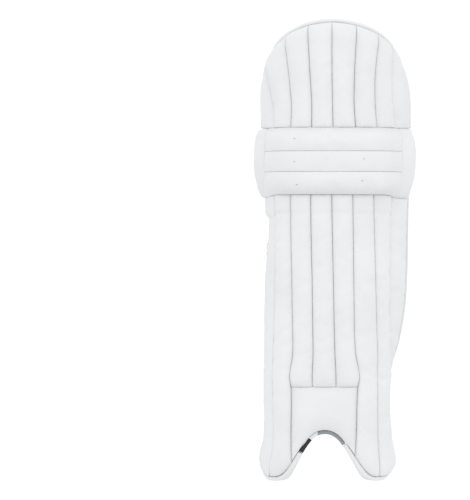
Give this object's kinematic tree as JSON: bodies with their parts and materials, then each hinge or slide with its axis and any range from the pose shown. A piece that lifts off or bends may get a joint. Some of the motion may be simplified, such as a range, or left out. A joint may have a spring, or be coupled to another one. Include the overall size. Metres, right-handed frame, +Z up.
{
  "type": "cricket batting pad",
  "caption": "Tall padded leg guard with upright front bolsters, horizontal knee rolls, a rounded top, an arched foot and webbing straps behind.",
  "frame": {"origin": "middle of the bounding box's bottom, on the floor that the two foot lobes stand on", "axes": "+Z up the pad, -Y to its front, +X to the outer side of the leg"},
  "size_m": [0.2591, 0.1385, 0.74],
  "materials": {
    "cover": "satin white synthetic leather",
    "lining": "matt cream synthetic leather",
    "ribbed": "fine ribbed off-white fabric",
    "webbing": "woven white webbing with dark and grey stripes",
    "binding_black": "satin black binding",
    "binding_grey": "satin grey binding",
    "ring": "dark moulded ring"
  },
  "bodies": {
    "root": {"crown_bolster_1": "cover", "crown_bolster_2": "cover", "crown_bolster_3": "cover", "crown_bolster_4": "cover", "crown_bolster_5": "cover", "crown_bolster_6": "cover", "crown_side_inner": "cover", "crown_wing_outer": "cover", "knee_roll_1": "cover", "knee_roll_2": "cover", "knee_roll_3": "cover", "knee_flap_inner": "cover", "knee_flap_outer": "cover", "shin_bolster_1": "cover", "shin_bolster_2": "cover", "shin_bolster_3": "cover", "shin_bolster_4": "cover", "shin_bolster_5": "cover", "shin_bolster_6": "cover", "shin_bolster_7": "cover", "shin_wing_outer": "cover", "instep_panel": "cover", "crown_binding": "cover", "side_binding_inner": "cover", "side_binding_outer": "cover", "lobe_binding_outer": "cover", "arch_binding_grey": "binding_grey", "arch_binding_white": "cover", "arch_binding_black": "binding_black", "lobe_binding_inner": "cover", "thigh_lining": "lining", "knee_cushion_inner": "lining", "knee_cushion_centre": "lining", "knee_cushion_outer": "lining", "calf_bolster": "lining", "calf_lining_inner": "ribbed", "calf_lining_outer": "ribbed", "lobe_facing_inner": "cover", "lobe_facing_outer": "cover", "sewn_label": "webbing", "knee_ring_tab": "webbing", "knee_strap_ring": "ring", "knee_strap": "webbing", "calf_ring_tab": "webbing", "calf_strap_ring": "ring", "calf_strap": "webbing", "ankle_ring_tab": "webbing", "ankle_strap_ring": "ring", "ankle_strap": "webbing", "ankle_anchor_patch": "cover"}
  },
  "joints": []
}
